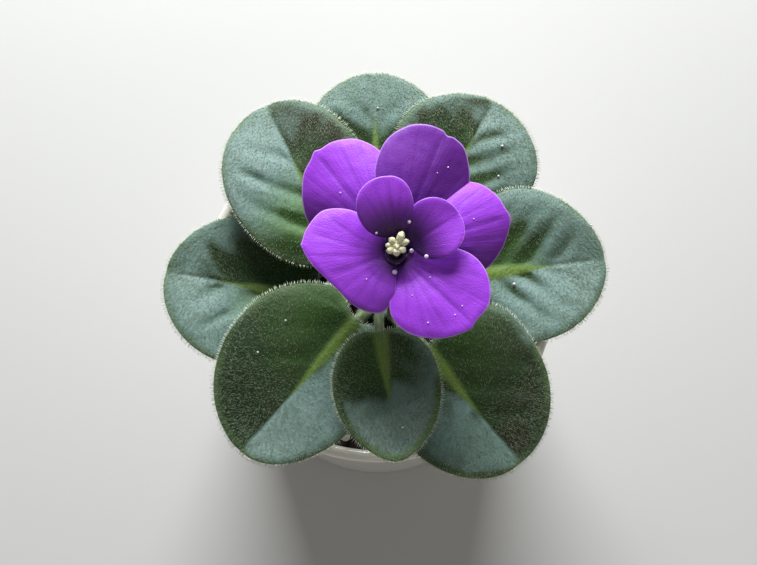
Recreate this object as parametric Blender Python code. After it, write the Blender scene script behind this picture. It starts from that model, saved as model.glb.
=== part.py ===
# African violet in a white ceramic pot, built as separate solids.
# Lengths are in millimetres and angles in degrees. SCALE turns them into metres.
# The origin is the middle of the pot's underside. +Z is up, and -Y is the front.

import math

import bmesh
import bpy
from mathutils import Matrix, Vector

SCALE = 0.001
GAP = 0.4  # clearance between neighbouring solids

# Pot
POT_HEIGHT = 85.0
POT_FOOT_RADIUS = 40.7
POT_RIM_RADIUS = 47.5
POT_WALL = 3.2
POT_FLOOR = 5.0
POT_SEGMENTS = 48

# Soil
SOIL_TOP = POT_HEIGHT - 10.0
SOIL_BUMP = 0.5
POCKET_RADIUS = 6.0  # hole in the soil that holds the crown
POCKET_DEPTH = 13.0

# Crown, the short stem that every leaf grows from
CROWN_RADIUS = POCKET_RADIUS - GAP
CROWN_TOP = POT_HEIGHT + 1.0

# Leaves. base is where the stalk meets the blade, with z above the pot's rim. heading is the blade's direction
# on plan, left and right its half widths, egg makes it broader at the base when negative, point draws out the
# tip, lobe is how far the lobes reach back past the base, square fills out the corners below 1, and rise and
# fall are the slopes at base and tip. The stalk leaves the crown on the bearing root, foot below the pot's rim.
LEAF_THICKNESS = 0.9
LEAF_EDGE_THICKNESS = 0.5
LEAF_TROUGH = 0.22  # slope of each half where it leaves the midrib
LEAF_SEGMENTS = 28
LEAF_RINGS = 4
LEAVES = {
    "leaf_back": dict(
        base=(-0.5, 25, 3.5), heading=91, length=34.5, left=18.5, right=18.5,
        egg=-0.14, point=0.01, lobe=0.07, square=1.0, rise=14, fall=14, root=91, foot=6.5, stalk=1.5),
    "leaf_back_left": dict(
        base=(-11.5, 8, 11.5), heading=116, length=43.5, left=20, right=17,
        egg=-0.03, point=0, lobe=0.13, square=1.0, rise=14, fall=16, root=146, foot=5, stalk=1.6),
    "leaf_left": dict(
        base=(-18, -5, 4.5), heading=169, length=39.5, left=21.5, right=18.5,
        egg=-0.14, point=0, lobe=0.07, square=1.0, rise=14, fall=16, root=197, foot=6.5, stalk=1.5),
    "leaf_front_left": dict(
        base=(-5.5, -14, 17), heading=229, length=43.5, left=17.5, right=22,
        egg=-0.13, point=0.01, lobe=0.12, square=0.93, rise=10, fall=18, root=241, foot=6.5, stalk=1.6),
    "leaf_front": dict(
        base=(0.5, -18.5, 24), heading=278, length=31, left=12.7, right=13.3,
        egg=-0.11, point=0.03, lobe=0.05, square=1.0, rise=6, fall=22, root=278, foot=0.5, stalk=1.25),
    "leaf_front_right": dict(
        base=(12, -21, 16), heading=309.5, length=37, left=21, right=19,
        egg=-0.28, point=0.005, lobe=0.16, square=0.78, rise=10, fall=18, root=298, foot=6, stalk=1.7),
    "leaf_right": dict(
        base=(27, -0.5, 12), heading=8, length=32.5, left=20.5, right=19.2,
        egg=-0.26, point=0, lobe=0.09, square=0.93, rise=10, fall=14, root=358, foot=6, stalk=1.6),
    "leaf_back_right": dict(
        base=(17, 22.5, 8.5), heading=61.5, length=30.3, left=18.5, right=20,
        egg=-0.19, point=0.015, lobe=0.075, square=0.96, rise=14, fall=16, root=51, foot=6, stalk=1.5),
}

# Young leaves, which stand on top of the crown. root is where the stalk starts.
YOUNG_STALK_RADIUS = 0.9
YOUNG_TROUGH = 0.35
YOUNG_LEAVES = {
    "young_leaf_left": dict(root=(-3.6, -1.5), base=(-8, -4, 7), heading=212, length=9, width=4, rise=42, fall=-8),
    "young_leaf_right": dict(root=(3.6, -1.4), base=(8.5, -4.5, 8), heading=332, length=11, width=4.5, rise=38, fall=-6),
    "young_leaf_back": dict(root=(0.8, 3.8), base=(4, 8.5, 8), heading=62, length=11, width=4.5, rise=40, fall=-6),
}

# Flower. Its own frame has the throat at the origin and +Z out of the flower.
FLOWER_CENTRE = (4.2, -2.6, POT_HEIGHT + 38)
FLOWER_TILT = 8  # towards the front
FLOWER_STALK_RADIUS = 1.1
TUBE_RADIUS = 2.5
TUBE_WALL = 0.6
TUBE_BOTTOM = -4.5
TUBE_TOP = 2.6
PETAL_THICKNESS = 0.5
PETAL_LAYER = 0.9  # step between petals that lie over each other
PETAL_RINGS = 3
# Outer petals: the layer, then the edge as (bearing, distance from the throat).
OUTER_PETALS = {
    "petal_upper_left": (0, [
        (88, 8), (92, 18), (98, 25), (108, 29.5), (118, 31.5), (128, 32), (138, 30), (150, 25.5), (160, 21.5),
        (168, 15), (168, 8)]),
    "petal_upper_right": (1, [
        (35, 12), (38, 19.5), (47, 26.5), (58, 31), (66, 32.5), (75, 32.7), (85, 31), (95, 27), (104, 20.5),
        (108, 13), (106, 7)]),
    "petal_right": (0, [
        (342, 8), (345, 15), (350, 21.5), (362, 25.3), (374, 28.3), (381, 29.3), (390, 28.2), (402, 26), (414, 21),
        (418, 12), (415, 6)]),
    "petal_lower_right": (1, [
        (262, 7), (265, 14.8), (279, 19.7), (297, 23.2), (315, 25.8), (331, 25.2), (346, 22), (358, 17.5), (368, 11),
        (370, 6)]),
    "petal_lower_left": (2, [
        (131, 10), (138, 15), (150, 19.8), (164, 21.6), (174, 22.4), (190, 20), (210, 17), (235, 16.5), (256, 15.2),
        (268, 11), (271, 6.5)]),
}
# Inner petals stand up around the throat, each a small cupped blade.
INNER_PETAL_TROUGH = 0.3
INNER_PETALS = {
    "petal_inner_left": dict(
        bearing=123, radius=3.6, height=3.2, heading=80, length=16, left=8, right=4.7, egg=0.15, rise=56, fall=2),
    "petal_inner_right": dict(
        bearing=5, radius=4.4, height=3.2, heading=58, length=15, left=4, right=8.5, egg=0.08, rise=48, fall=-3),
}
SEPAL_COUNT = 5
SEPAL_LENGTH = 7.0
SEPAL_WIDTH = 1.3
STAMEN_COUNT = 6
STAMEN_BASE = 0.5
STAMEN_RING = 1.0
ANTHER_RING = 1.75
ANTHER_RADIUS = 0.72

# Pale grains lying on the soil: (x, y, radius)
GRAINS = [(-8.5, -40, 1.1), (5, -40.5, 0.9), (-22, -33, 1.0), (-36, 20, 1.0), (17, 38, 1.0), (31, -27, 0.8)]


def clear_scene():
    for obj in list(bpy.data.objects):
        bpy.data.objects.remove(obj)


def make_material(name, colour, roughness):
    material = bpy.data.materials.new(name)
    material.use_nodes = True
    shader = material.node_tree.nodes["Principled BSDF"]
    shader.inputs["Base Color"].default_value = (*colour, 1.0)
    shader.inputs["Roughness"].default_value = roughness
    return material


def make_object(name, points, faces, material):
    mesh = bpy.data.meshes.new(name)
    mesh.from_pydata([Vector(p) * SCALE for p in points], [], faces)
    work = bmesh.new()
    work.from_mesh(mesh)
    bmesh.ops.recalc_face_normals(work, faces=work.faces)
    work.to_mesh(mesh)
    work.free()
    mesh.materials.append(material)
    obj = bpy.data.objects.new(name, mesh)
    bpy.context.scene.collection.objects.link(obj)
    return obj


def on_bearing(degrees, radius):
    angle = math.radians(degrees)
    return radius * math.cos(angle), radius * math.sin(angle)


def lathe(profile, segments, place=Matrix.Identity(4), bump=None):
    """Turns a profile of (radius, z) about Z. Its first and last points lie on the axis."""
    points = [Vector((0, 0, profile[0][1]))]
    for radius, z in profile[1:-1]:
        for i in range(segments):
            x, y = on_bearing(360 * i / segments, radius)
            points.append(Vector((x, y, z + (bump(x, y, radius, z) if bump else 0))))
    points.append(Vector((0, 0, profile[-1][1])))
    rings = len(profile) - 2
    faces = []
    for i in range(segments):
        j = (i + 1) % segments
        faces.append((0, 1 + i, 1 + j))
        for k in range(rings - 1):
            a = 1 + k * segments
            b = a + segments
            faces.append((a + i, b + i, b + j, a + j))
        last = 1 + (rings - 1) * segments
        faces.append((last + i, len(points) - 1, last + j))
    return [place @ p for p in points], faces


def tube(path, radii, sides):
    """A closed rod along a list of points, with one radius for each point."""
    points, faces = [], []
    side = Vector((0, 0, 1))
    for i, here in enumerate(path):
        ahead = (path[min(i + 1, len(path) - 1)] - path[max(i - 1, 0)]).normalized()
        across = ahead.cross(side)
        if across.length < 0.2:
            across = ahead.cross(Vector((1, 0, 0)))
        across.normalize()
        up = across.cross(ahead)
        side = up
        for k in range(sides):
            angle = 2 * math.pi * k / sides
            points.append(here + radii[i] * (math.cos(angle) * across + math.sin(angle) * up))
    for i in range(len(path) - 1):
        for k in range(sides):
            a = i * sides + k
            b = i * sides + (k + 1) % sides
            faces.append((a, b, b + sides, a + sides))
    faces.append(tuple(range(sides)))
    faces.append(tuple(reversed(range(len(points) - sides, len(points)))))
    return points, faces


def bezier(a, b, c, d, count):
    path = []
    for i in range(count):
        t = i / (count - 1)
        path.append((1 - t) ** 3 * a + 3 * (1 - t) ** 2 * t * b + 3 * (1 - t) * t * t * c + t ** 3 * d)
    return path


def blade_outline(turn, length, left, right, egg, point, lobe, square):
    """(along, across) of a leaf's edge. turn is 0 at the tip and 180 at the base."""
    c, s = math.cos(math.radians(turn)), math.sin(math.radians(turn))
    along = 0.5 * length * (1 + math.copysign(abs(c) ** square, c)) + point * length * max(0.0, c) ** 12
    along -= lobe * length * ((1 - c) / 2) ** 3 * (1 - math.exp(-(s / 0.25) ** 2))
    half_width = left if s > 0 else right
    return along, half_width * math.copysign(abs(s) ** square, s) * (1 + egg * c)


def blade_surface(base, heading, length, half_width, egg, rise, fall, trough):
    """Returns a function that puts (along, across) on an arched blade whose midrib is a circular arc. Each half
    leaves the midrib at the slope trough and curls down again near the edge."""
    turn = math.radians(-fall - rise) / length
    start = math.radians(rise)
    flat = Vector((*on_bearing(heading, 1), 0))
    to_left = Vector((-flat.y, flat.x, 0))

    def put(along, across):
        slope = start + turn * along
        reach = (math.sin(slope) - math.sin(start)) / turn
        lift = (math.cos(start) - math.cos(slope)) / turn
        normal = Vector((0, 0, 1)) * math.cos(slope) - flat * math.sin(slope)
        c = max(-0.98, min(0.98, 2 * along / length - 1))
        here = half_width * math.sqrt(1 - c * c) * (1 + egg * c)
        u = min(abs(across) / here, 1.15)
        swell = trough * here * (u - 0.6 * u ** 5 - 0.4)
        return Vector(base) + flat * reach + Vector((0, 0, lift)) + to_left * across + normal * swell

    return put


def facing(put, x, y):
    """The upward normal of a surface function."""
    step = 0.05
    return (put(x + step, y) - put(x - step, y)).cross(put(x, y + step) - put(x, y - step)).normalized()


def sheet(put, outline, centre, rings, thickness, edge_thickness):
    """A closed plate under a surface function. It is thinner at the edge."""
    top, bottom = [], []
    count = len(outline)
    spots = [centre]
    depths = [thickness]
    for k in range(1, rings + 1):
        share = 1 - (1 - k / rings) ** 1.4
        for x, y in outline:
            spots.append((centre[0] + share * (x - centre[0]), centre[1] + share * (y - centre[1])))
            depths.append(thickness + (edge_thickness - thickness) * share ** 3)
    for (x, y), depth in zip(spots, depths):
        here = put(x, y)
        top.append(here)
        bottom.append(here - facing(put, x, y) * depth)
    faces = []
    low = len(top)
    for i in range(count):
        j = (i + 1) % count
        faces.append((0, 1 + i, 1 + j))
        faces.append((low, low + 1 + j, low + 1 + i))
        for k in range(rings - 1):
            a = 1 + k * count
            b = a + count
            faces.append((a + i, b + i, b + j, a + j))
            faces.append((low + a + i, low + a + j, low + b + j, low + b + i))
        rim = 1 + (rings - 1) * count
        faces.append((rim + i, low + rim + i, low + rim + j, rim + j))
    return top + bottom, faces


def fuse(obj, tool):
    """Joins a tool solid onto an object and removes the tool."""
    modifier = obj.modifiers.new("fuse", "BOOLEAN")
    modifier.operation = "UNION"
    modifier.solver = "EXACT"
    modifier.object = tool
    graph = bpy.context.evaluated_depsgraph_get()
    mesh = bpy.data.meshes.new_from_object(obj.evaluated_get(graph))
    obj.modifiers.clear()
    obj.data = mesh
    bpy.data.objects.remove(tool)


def make_pot(material):
    taper = (POT_RIM_RADIUS - POT_FOOT_RADIUS) / POT_HEIGHT
    lip = POT_WALL / 2
    middle = POT_RIM_RADIUS - lip
    top = POT_HEIGHT - lip
    profile = [(0, 0), (POT_FOOT_RADIUS - 1.2, 0), (POT_FOOT_RADIUS - 0.3, 0.4), (POT_FOOT_RADIUS + 1.5 * taper, 1.5)]
    for degrees in (0, 35, 65, 90, 115, 145, 180):
        x, z = on_bearing(degrees, lip)
        profile.append((middle + x, top + z))
    floor_edge = POT_FOOT_RADIUS - POT_WALL + taper * POT_FLOOR
    profile += [(floor_edge + 0.6, POT_FLOOR + 5), (floor_edge - 1, POT_FLOOR + 1.4),
                (floor_edge - 4, POT_FLOOR), (0, POT_FLOOR)]
    return make_object("pot", *lathe(profile, POT_SEGMENTS), material)


def make_soil(material):
    taper = (POT_RIM_RADIUS - POT_FOOT_RADIUS) / POT_HEIGHT
    floor_edge = POT_FOOT_RADIUS - POT_WALL + taper * POT_FLOOR - GAP
    edge = POT_RIM_RADIUS - POT_WALL - taper * (POT_HEIGHT - SOIL_TOP) - GAP - 0.2
    profile = [(0, POT_FLOOR + GAP), (floor_edge - 4.2, POT_FLOOR + GAP), (floor_edge - 1.2, POT_FLOOR + 1.8),
               (floor_edge + 0.3, POT_FLOOR + 5.2), (edge, SOIL_TOP - 1.2), (edge - 1.0, SOIL_TOP)]
    for radius in (37, 31, 25, 19, 13):
        profile.append((radius, SOIL_TOP))
    profile += [(POCKET_RADIUS + 1.5, SOIL_TOP), (POCKET_RADIUS, SOIL_TOP - 1),
                (POCKET_RADIUS, SOIL_TOP - POCKET_DEPTH), (0, SOIL_TOP - POCKET_DEPTH)]

    def crumbs(x, y, radius, z):
        if z != SOIL_TOP or radius < 10:
            return 0
        return SOIL_BUMP * math.sin(0.9 * x + 1.3 * math.sin(0.5 * y)) * math.cos(0.8 * y - 0.4 * x)

    return make_object("soil", *lathe(profile, POT_SEGMENTS, bump=crumbs), material)


def make_grains(material):
    for i, (x, y, radius) in enumerate(GRAINS):
        place = Matrix.Translation((x, y, SOIL_TOP + SOIL_BUMP + 0.75 * radius)) @ Matrix.Rotation(i * 1.1, 4, "Z")
        profile = [(0, -0.75 * radius), (0.8 * radius, -0.5 * radius), (radius, 0), (0.7 * radius, 0.6 * radius),
                   (0, 0.8 * radius)]
        make_object("soil_grain_%d" % (i + 1), *lathe(profile, 6, place), material)


def make_crown(material):
    bottom = SOIL_TOP - POCKET_DEPTH + GAP
    profile = [(0, bottom), (CROWN_RADIUS - 1, bottom), (CROWN_RADIUS, bottom + 1.5), (CROWN_RADIUS, SOIL_TOP),
               (CROWN_RADIUS - 0.4, SOIL_TOP + 2), (CROWN_RADIUS - 0.2, CROWN_TOP - 2), (CROWN_RADIUS - 1, CROWN_TOP),
               (0, CROWN_TOP)]
    return make_object("crown", *lathe(profile, 24), material)


def make_leaf(name, leaf, material):
    base = Vector(leaf["base"]) + Vector((0, 0, POT_HEIGHT))
    length = leaf["length"]
    half_width = (leaf["left"] + leaf["right"]) / 2
    put = blade_surface(base, leaf["heading"], length, half_width, leaf["egg"], leaf["rise"], leaf["fall"],
                        LEAF_TROUGH)
    edge = [blade_outline(360 * (i + 0.5) / LEAF_SEGMENTS, length, leaf["left"], leaf["right"], leaf["egg"],
                          leaf["point"], leaf["lobe"], leaf["square"]) for i in range(LEAF_SEGMENTS)]
    blade = sheet(put, edge, (0.5 * length, 0), LEAF_RINGS, LEAF_THICKNESS, LEAF_EDGE_THICKNESS)
    obj = make_object(name, *blade, material)

    # The stalk curves from the crown to the blade, then runs on under it as the midrib.
    out = Vector((*on_bearing(leaf["root"], 1), 0))
    end = base - Vector((0, 0, 0.45 + 0.5 * leaf["stalk"]))
    foot = POT_HEIGHT - leaf["foot"]
    climb = 0.9 * math.atan2(end.z - foot, math.hypot(end.x, end.y) - CROWN_RADIUS)
    start = out * (CROWN_RADIUS + GAP + leaf["stalk"] * math.sin(climb)) + Vector((0, 0, foot))
    leaving = out * math.cos(climb) + Vector((0, 0, math.sin(climb)))
    reach = (end - start).length
    ahead = Vector((*on_bearing(leaf["heading"], math.cos(math.radians(leaf["rise"]))),
                    math.sin(math.radians(leaf["rise"]))))
    path = bezier(start, start + leaving * 0.35 * reach, end - ahead * 0.3 * reach, end, 8)
    radii = [leaf["stalk"]] * 8
    for share in (0.12, 0.3, 0.5, 0.72):
        radius = leaf["stalk"] * (1 - share)
        path.append(put(share * length, 0) - facing(put, share * length, 0) * (0.45 + 0.5 * radius))
        radii.append(radius)
    fuse(obj, make_object(name + "_stalk", *tube(path, radii, 8), material))
    return obj


def make_young_leaf(name, leaf, material):
    base = Vector(leaf["base"]) + Vector((0, 0, POT_HEIGHT))
    put = blade_surface(base, leaf["heading"], leaf["length"], leaf["width"], 0, leaf["rise"], leaf["fall"],
                        YOUNG_TROUGH)
    edge = [blade_outline(20 * (i + 0.5), leaf["length"], leaf["width"], leaf["width"], 0, 0.03, 0, 1)
            for i in range(18)]
    obj = make_object(name, *sheet(put, edge, (0.5 * leaf["length"], 0), 3, 0.8, 0.5), material)
    start = Vector((*leaf["root"], CROWN_TOP + GAP))
    reach = (base - start).length
    end = put(0.35 * leaf["length"], 0) - facing(put, 0.35 * leaf["length"], 0) * 0.7
    under = base - Vector((0, 0, 0.8))
    path = bezier(start, start + Vector((0, 0, 0.45 * reach)), under - (end - under) * 0.8, under, 6) + [end]
    fuse(obj, make_object(name + "_stalk", *tube(path, [YOUNG_STALK_RADIUS] * 6 + [0.5], 8), material))
    return obj


def flower_frame():
    return Matrix.Translation(FLOWER_CENTRE) @ Matrix.Rotation(math.radians(FLOWER_TILT), 4, "X")


def petal_edge(corners, claw_bearing):
    """A smooth closed edge through the corners and the narrow claw at the throat."""
    knots = [Vector(on_bearing(b, r)) for b, r in corners]
    knots.append(Vector(on_bearing(claw_bearing, TUBE_RADIUS + GAP)))
    edge = []
    count = len(knots)
    for i in range(count):
        p0, p1, p2, p3 = (knots[(i + k) % count] for k in (-1, 0, 1, 2))
        for t in (0.0, 0.5):
            edge.append(0.5 * (2 * p1 + (p2 - p0) * t + (2 * p0 - 5 * p1 + 4 * p2 - p3) * t * t
                               + (3 * p1 - p0 - 3 * p2 + p3) * t ** 3))
    return edge


def make_outer_petal(name, layer, corners, material):
    frame = flower_frame()

    def put(x, y):
        r = math.hypot(x, y)
        dish = 1.3 * math.sin(math.pi * min(r / 26, 1.3)) - math.exp(-(r / 4) ** 2) - 0.8 * (r / 26) ** 2
        return frame @ Vector((x, y, dish + layer * PETAL_LAYER))

    edge = petal_edge(corners, 0.5 * (corners[0][0] + corners[-1][0]))
    centre = sum(edge, Vector((0, 0))) / len(edge)
    return make_object(name, *sheet(put, edge, centre, PETAL_RINGS, PETAL_THICKNESS, 0.35), material)


def make_inner_petal(name, petal, material):
    frame = flower_frame()
    base = (*on_bearing(petal["bearing"], petal["radius"]), petal["height"])
    half_width = (petal["left"] + petal["right"]) / 2
    flat = blade_surface(base, petal["heading"], petal["length"], half_width, petal["egg"], petal["rise"],
                         petal["fall"], INNER_PETAL_TROUGH)

    def put(along, across):
        return frame @ flat(along, across)

    edge = [blade_outline(15 * (i + 0.5), petal["length"], petal["left"], petal["right"], petal["egg"], 0, 0, 1)
            for i in range(24)]
    centre = (0.5 * petal["length"], 0)
    return make_object(name, *sheet(put, edge, centre, PETAL_RINGS, PETAL_THICKNESS, 0.35), material)


def make_tube(material):
    inner = TUBE_RADIUS - TUBE_WALL
    profile = [(0, TUBE_BOTTOM), (TUBE_RADIUS - 0.4, TUBE_BOTTOM), (TUBE_RADIUS, TUBE_BOTTOM + 0.6),
               (TUBE_RADIUS, TUBE_TOP - 0.2), (TUBE_RADIUS - 0.3, TUBE_TOP), (inner, TUBE_TOP - 0.2),
               (inner, TUBE_BOTTOM + 1.2), (inner - 0.5, TUBE_BOTTOM + 0.7), (0, TUBE_BOTTOM + 0.7)]
    return make_object("corolla_tube", *lathe(profile, 20, flower_frame()), material)


def make_calyx(material):
    frame = flower_frame()
    top = TUBE_BOTTOM - GAP
    cup = lathe([(0, top - 3.2), (FLOWER_STALK_RADIUS, top - 3.2), (1.8, top - 1.6), (TUBE_RADIUS, top), (0, top)],
                16, frame)
    obj = make_object("calyx", *cup, material)
    for i in range(SEPAL_COUNT):
        heading = 360 * (i + 0.5) / SEPAL_COUNT
        base = (*on_bearing(heading, TUBE_RADIUS - 1.3), top - 0.9)
        flat = blade_surface(base, heading, SEPAL_LENGTH, SEPAL_WIDTH, 0, 34, 2, 0.2)
        edge = [blade_outline(30 * (k + 0.5), SEPAL_LENGTH, SEPAL_WIDTH, SEPAL_WIDTH, -0.3, 0, 0, 1)
                for k in range(12)]
        sepal = sheet(lambda x, y: frame @ flat(x, y), edge, (0.5 * SEPAL_LENGTH, 0), 2, 0.5, 0.3)
        fuse(obj, make_object("sepal", *sepal, material))
    return obj


def make_flower_stalk(material):
    frame = flower_frame()
    start = Vector((0.6, -0.4, CROWN_TOP + GAP))
    end = frame @ Vector((0, 0, TUBE_BOTTOM - 2 * GAP - 3.2))
    below = frame @ Vector((0, 0, TUBE_BOTTOM - 12))
    path = bezier(start, start + Vector((-0.4, -0.2, 12)), below, end, 9)
    return make_object("flower_stalk", *tube(path, [1.3, 1.25, 1.2] + [FLOWER_STALK_RADIUS] * 6, 10), material)


def make_pistil(material):
    low = TUBE_BOTTOM + 0.7 + STAMEN_BASE + 2 * GAP
    profile = [(0, low), (0.6, low), (0.85, low + 1.0), (0.6, low + 2.0), (0.25, low + 2.6), (0.22, 5.2), (0.4, 5.5),
               (0.3, 5.9), (0, 6.0)]
    return make_object("pistil", *lathe(profile, 10, flower_frame()), material)


def make_stamens(material):
    frame = flower_frame()
    floor = TUBE_BOTTOM + 0.7 + GAP
    foot = STAMEN_BASE + floor
    disc = lathe([(0, floor), (STAMEN_RING + 0.2, floor), (STAMEN_RING + 0.2, foot), (0, foot)], 16, frame)
    obj = make_object("stamens", *disc, material)
    for i in range(STAMEN_COUNT):
        bearing = 360 * i / STAMEN_COUNT + 12
        height = 4.2 + 0.5 * math.sin(2.4 * i)
        low = Vector((*on_bearing(bearing, STAMEN_RING - 0.1), foot - 0.2))
        high = Vector((*on_bearing(bearing, ANTHER_RING), height))
        lean = (high - low).normalized()
        path = [low, low.lerp(high, 0.5), high - lean * ANTHER_RADIUS * 0.9]
        radii = [0.18, 0.18, 0.2]
        for step, share in ((-0.6, 0.75), (-0.15, 1.0), (0.4, 0.95), (0.85, 0.6), (1.05, 0.2)):
            path.append(high + lean * ANTHER_RADIUS * step)
            radii.append(ANTHER_RADIUS * share)
        points, faces = tube(path, radii, 8)
        fuse(obj, make_object("stamen", [frame @ p for p in points], faces, material))
    return obj


def main():
    clear_scene()
    ceramic = make_material("ceramic", (0.86, 0.86, 0.83), 0.3)
    earth = make_material("soil", (0.03, 0.022, 0.016), 0.95)
    grain = make_material("grain", (0.6, 0.58, 0.53), 0.9)
    green = make_material("leaf", (0.07, 0.14, 0.05), 0.6)
    stem = make_material("stem", (0.16, 0.2, 0.1), 0.6)
    purple = make_material("petal", (0.3, 0.07, 0.62), 0.6)
    cream = make_material("anther", (0.8, 0.76, 0.45), 0.6)

    make_pot(ceramic)
    make_soil(earth)
    make_grains(grain)
    make_crown(stem)
    for name, leaf in LEAVES.items():
        make_leaf(name, leaf, green)
    for name, leaf in YOUNG_LEAVES.items():
        make_young_leaf(name, leaf, green)
    make_flower_stalk(stem)
    make_calyx(stem)
    make_tube(purple)
    for name, (layer, corners) in OUTER_PETALS.items():
        make_outer_petal(name, layer, corners, purple)
    for name, petal in INNER_PETALS.items():
        make_inner_petal(name, petal, purple)
    make_pistil(cream)
    make_stamens(cream)


main()
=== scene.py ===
import math
import random

import bmesh
import bpy
from mathutils import Matrix, Vector, noise
from mathutils.bvhtree import BVHTree


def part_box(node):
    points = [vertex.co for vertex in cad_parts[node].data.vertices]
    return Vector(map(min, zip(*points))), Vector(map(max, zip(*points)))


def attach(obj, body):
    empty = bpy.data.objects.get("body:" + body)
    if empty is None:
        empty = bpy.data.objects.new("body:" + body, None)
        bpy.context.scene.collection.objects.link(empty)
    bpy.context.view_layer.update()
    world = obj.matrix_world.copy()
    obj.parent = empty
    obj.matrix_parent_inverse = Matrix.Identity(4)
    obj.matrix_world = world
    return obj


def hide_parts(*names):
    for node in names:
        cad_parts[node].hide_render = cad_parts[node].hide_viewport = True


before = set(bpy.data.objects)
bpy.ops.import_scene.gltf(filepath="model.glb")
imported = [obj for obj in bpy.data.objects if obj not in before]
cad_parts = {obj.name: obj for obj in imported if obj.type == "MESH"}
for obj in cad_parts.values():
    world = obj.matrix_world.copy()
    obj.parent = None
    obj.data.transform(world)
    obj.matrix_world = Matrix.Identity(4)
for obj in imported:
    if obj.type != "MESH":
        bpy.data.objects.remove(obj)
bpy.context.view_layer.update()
mm = 0.001
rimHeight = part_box("pot")[1].z / mm  # lengths below are in mm, and finishPiece turns them into metres
scene = bpy.context.scene
scene.view_settings.view_transform = "Standard"

studio = {
    "target": (0.1, 0.3, 85.0),
    "distance": 337.0,
    "elevation": 75.0,
    "lens": 60.0,
    "floorRadius": 3000,
    "floorColour": (0.60, 0.59, 0.57, 1),
    "worldColour": (0.93, 0.96, 1.0, 1),
    "worldStrength": 0.15,
    # name: place, width and height, watts, colour
    "lamps": {
        "windowLamp": ((-50, 750, 540), (560, 380), 15.5, (0.95, 0.98, 1.0)),
        "frontFillLamp": ((250, -700, 700), (600, 600), 1.2, (1.0, 0.95, 0.87)),
    },
}


def addObject(name, data):
    thing = bpy.data.objects.new(name, data)
    scene.collection.objects.link(thing)
    return thing


def bodyMesh(name, bm):
    mesh = bpy.data.meshes.new(name)
    bm.to_mesh(mesh)
    bm.free()
    return mesh


def makeStudio():
    target = Vector(studio["target"]) * mm
    rise = math.radians(studio["elevation"])
    lens = bpy.data.cameras.new("plantCamera")
    lens.lens = studio["lens"]
    lens.sensor_width = 36
    lens.clip_start = 0.01
    camera = addObject("plantCamera", lens)
    camera.location = target + Vector((0, -math.cos(rise), math.sin(rise))) * studio["distance"] * mm
    camera.rotation_euler = (math.pi / 2 - rise, 0, 0)
    scene.camera = camera

    for name, (place, size, watts, colour) in studio["lamps"].items():
        lamp = bpy.data.lights.new(name, "AREA")
        lamp.shape = "RECTANGLE"
        lamp.size, lamp.size_y = size[0] * mm, size[1] * mm
        lamp.energy = watts
        lamp.color = colour
        holder = addObject(name, lamp)
        holder.location = Vector(place) * mm
        holder.rotation_mode = "QUATERNION"
        holder.rotation_quaternion = (target - Vector(place) * mm).to_track_quat("-Z", "Y")

    world = bpy.data.worlds.new("softSky")
    world.use_nodes = True
    sky = world.node_tree.nodes["Background"]
    sky.inputs["Color"].default_value = studio["worldColour"]
    sky.inputs["Strength"].default_value = studio["worldStrength"]
    scene.world = world

    bm = bmesh.new()
    bmesh.ops.create_circle(bm, cap_ends=True, segments=96, radius=studio["floorRadius"] * mm)
    mesh = bodyMesh("studioFloor", bm)
    mesh.materials.append(newSkin("paleFloor", Base_Color=studio["floorColour"], Roughness=0.6))
    floor = addObject("studioFloor", mesh)


def newSkin(name, **look):
    skin = bpy.data.materials.new(name)
    skin.use_nodes = True
    for socket, value in look.items():
        skin.node_tree.nodes["Principled BSDF"].inputs[socket.replace("_", " ")].default_value = value
    return skin


def addNode(skin, kind, sockets=None, **options):
    node = skin.node_tree.nodes.new(kind)
    for key, value in options.items():
        setattr(node, key, value)
    for key, value in (sockets or {}).items():
        if isinstance(value, bpy.types.NodeSocket):
            skin.node_tree.links.new(value, node.inputs[key])
        else:
            node.inputs[key].default_value = value
    return node


def blend(skin, factor, first, second):
    return addNode(skin, "ShaderNodeMix", {0: factor, 6: first, 7: second}, data_type="RGBA").outputs[2]


def maths(skin, operation, first, second):
    return addNode(skin, "ShaderNodeMath", {0: first, 1: second}, operation=operation).outputs[0]


def times(skin, first, second):
    return maths(skin, "MULTIPLY", first, second)


def ramp(skin, value, low, high, outLow=0.0, outHigh=1.0):
    sockets = {"Value": value, "From Min": low, "From Max": high, "To Min": outLow, "To Max": outHigh}
    return addNode(skin, "ShaderNodeMapRange", sockets).outputs["Result"]


def mark(skin, name):
    # a value that the mesh carries at each vertex
    return addNode(skin, "ShaderNodeAttribute", attribute_name=name).outputs["Fac"]


def onObject(skin):
    return addNode(skin, "ShaderNodeTexCoord").outputs["Object"]


def mottle(skin, scale, detail, rough=0.5, vector=None):
    if vector is None:
        vector = onObject(skin)
    sockets = {"Vector": vector, "Scale": scale, "Detail": detail, "Roughness": rough}
    return addNode(skin, "ShaderNodeTexNoise", sockets).outputs["Fac"]


def paint(skin, colour):
    skin.node_tree.links.new(colour, skin.node_tree.nodes["Principled BSDF"].inputs["Base Color"])


def addBump(skin, height, distance, strength):
    # a second bump lies on top of the first
    normal = skin.node_tree.nodes["Principled BSDF"].inputs["Normal"]
    sockets = {"Height": height, "Distance": distance, "Strength": strength}
    if normal.is_linked:
        sockets["Normal"] = normal.links[0].from_socket
    skin.node_tree.links.new(addNode(skin, "ShaderNodeBump", sockets).outputs["Normal"], normal)


def mottledSkin(name, first, second, blotches, bumps, **look):
    # blotches are scale, detail, roughness and where the second colour begins and is full;
    # bumps are scale, detail, roughness, height and strength
    skin = newSkin(name, **look)
    paint(skin, blend(skin, ramp(skin, mottle(skin, *blotches[:3]), *blotches[3:]), first, second))
    for scale, detail, rough, height, strength in bumps:
        addBump(skin, mottle(skin, scale, detail, rough), height, strength)
    return skin


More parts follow.
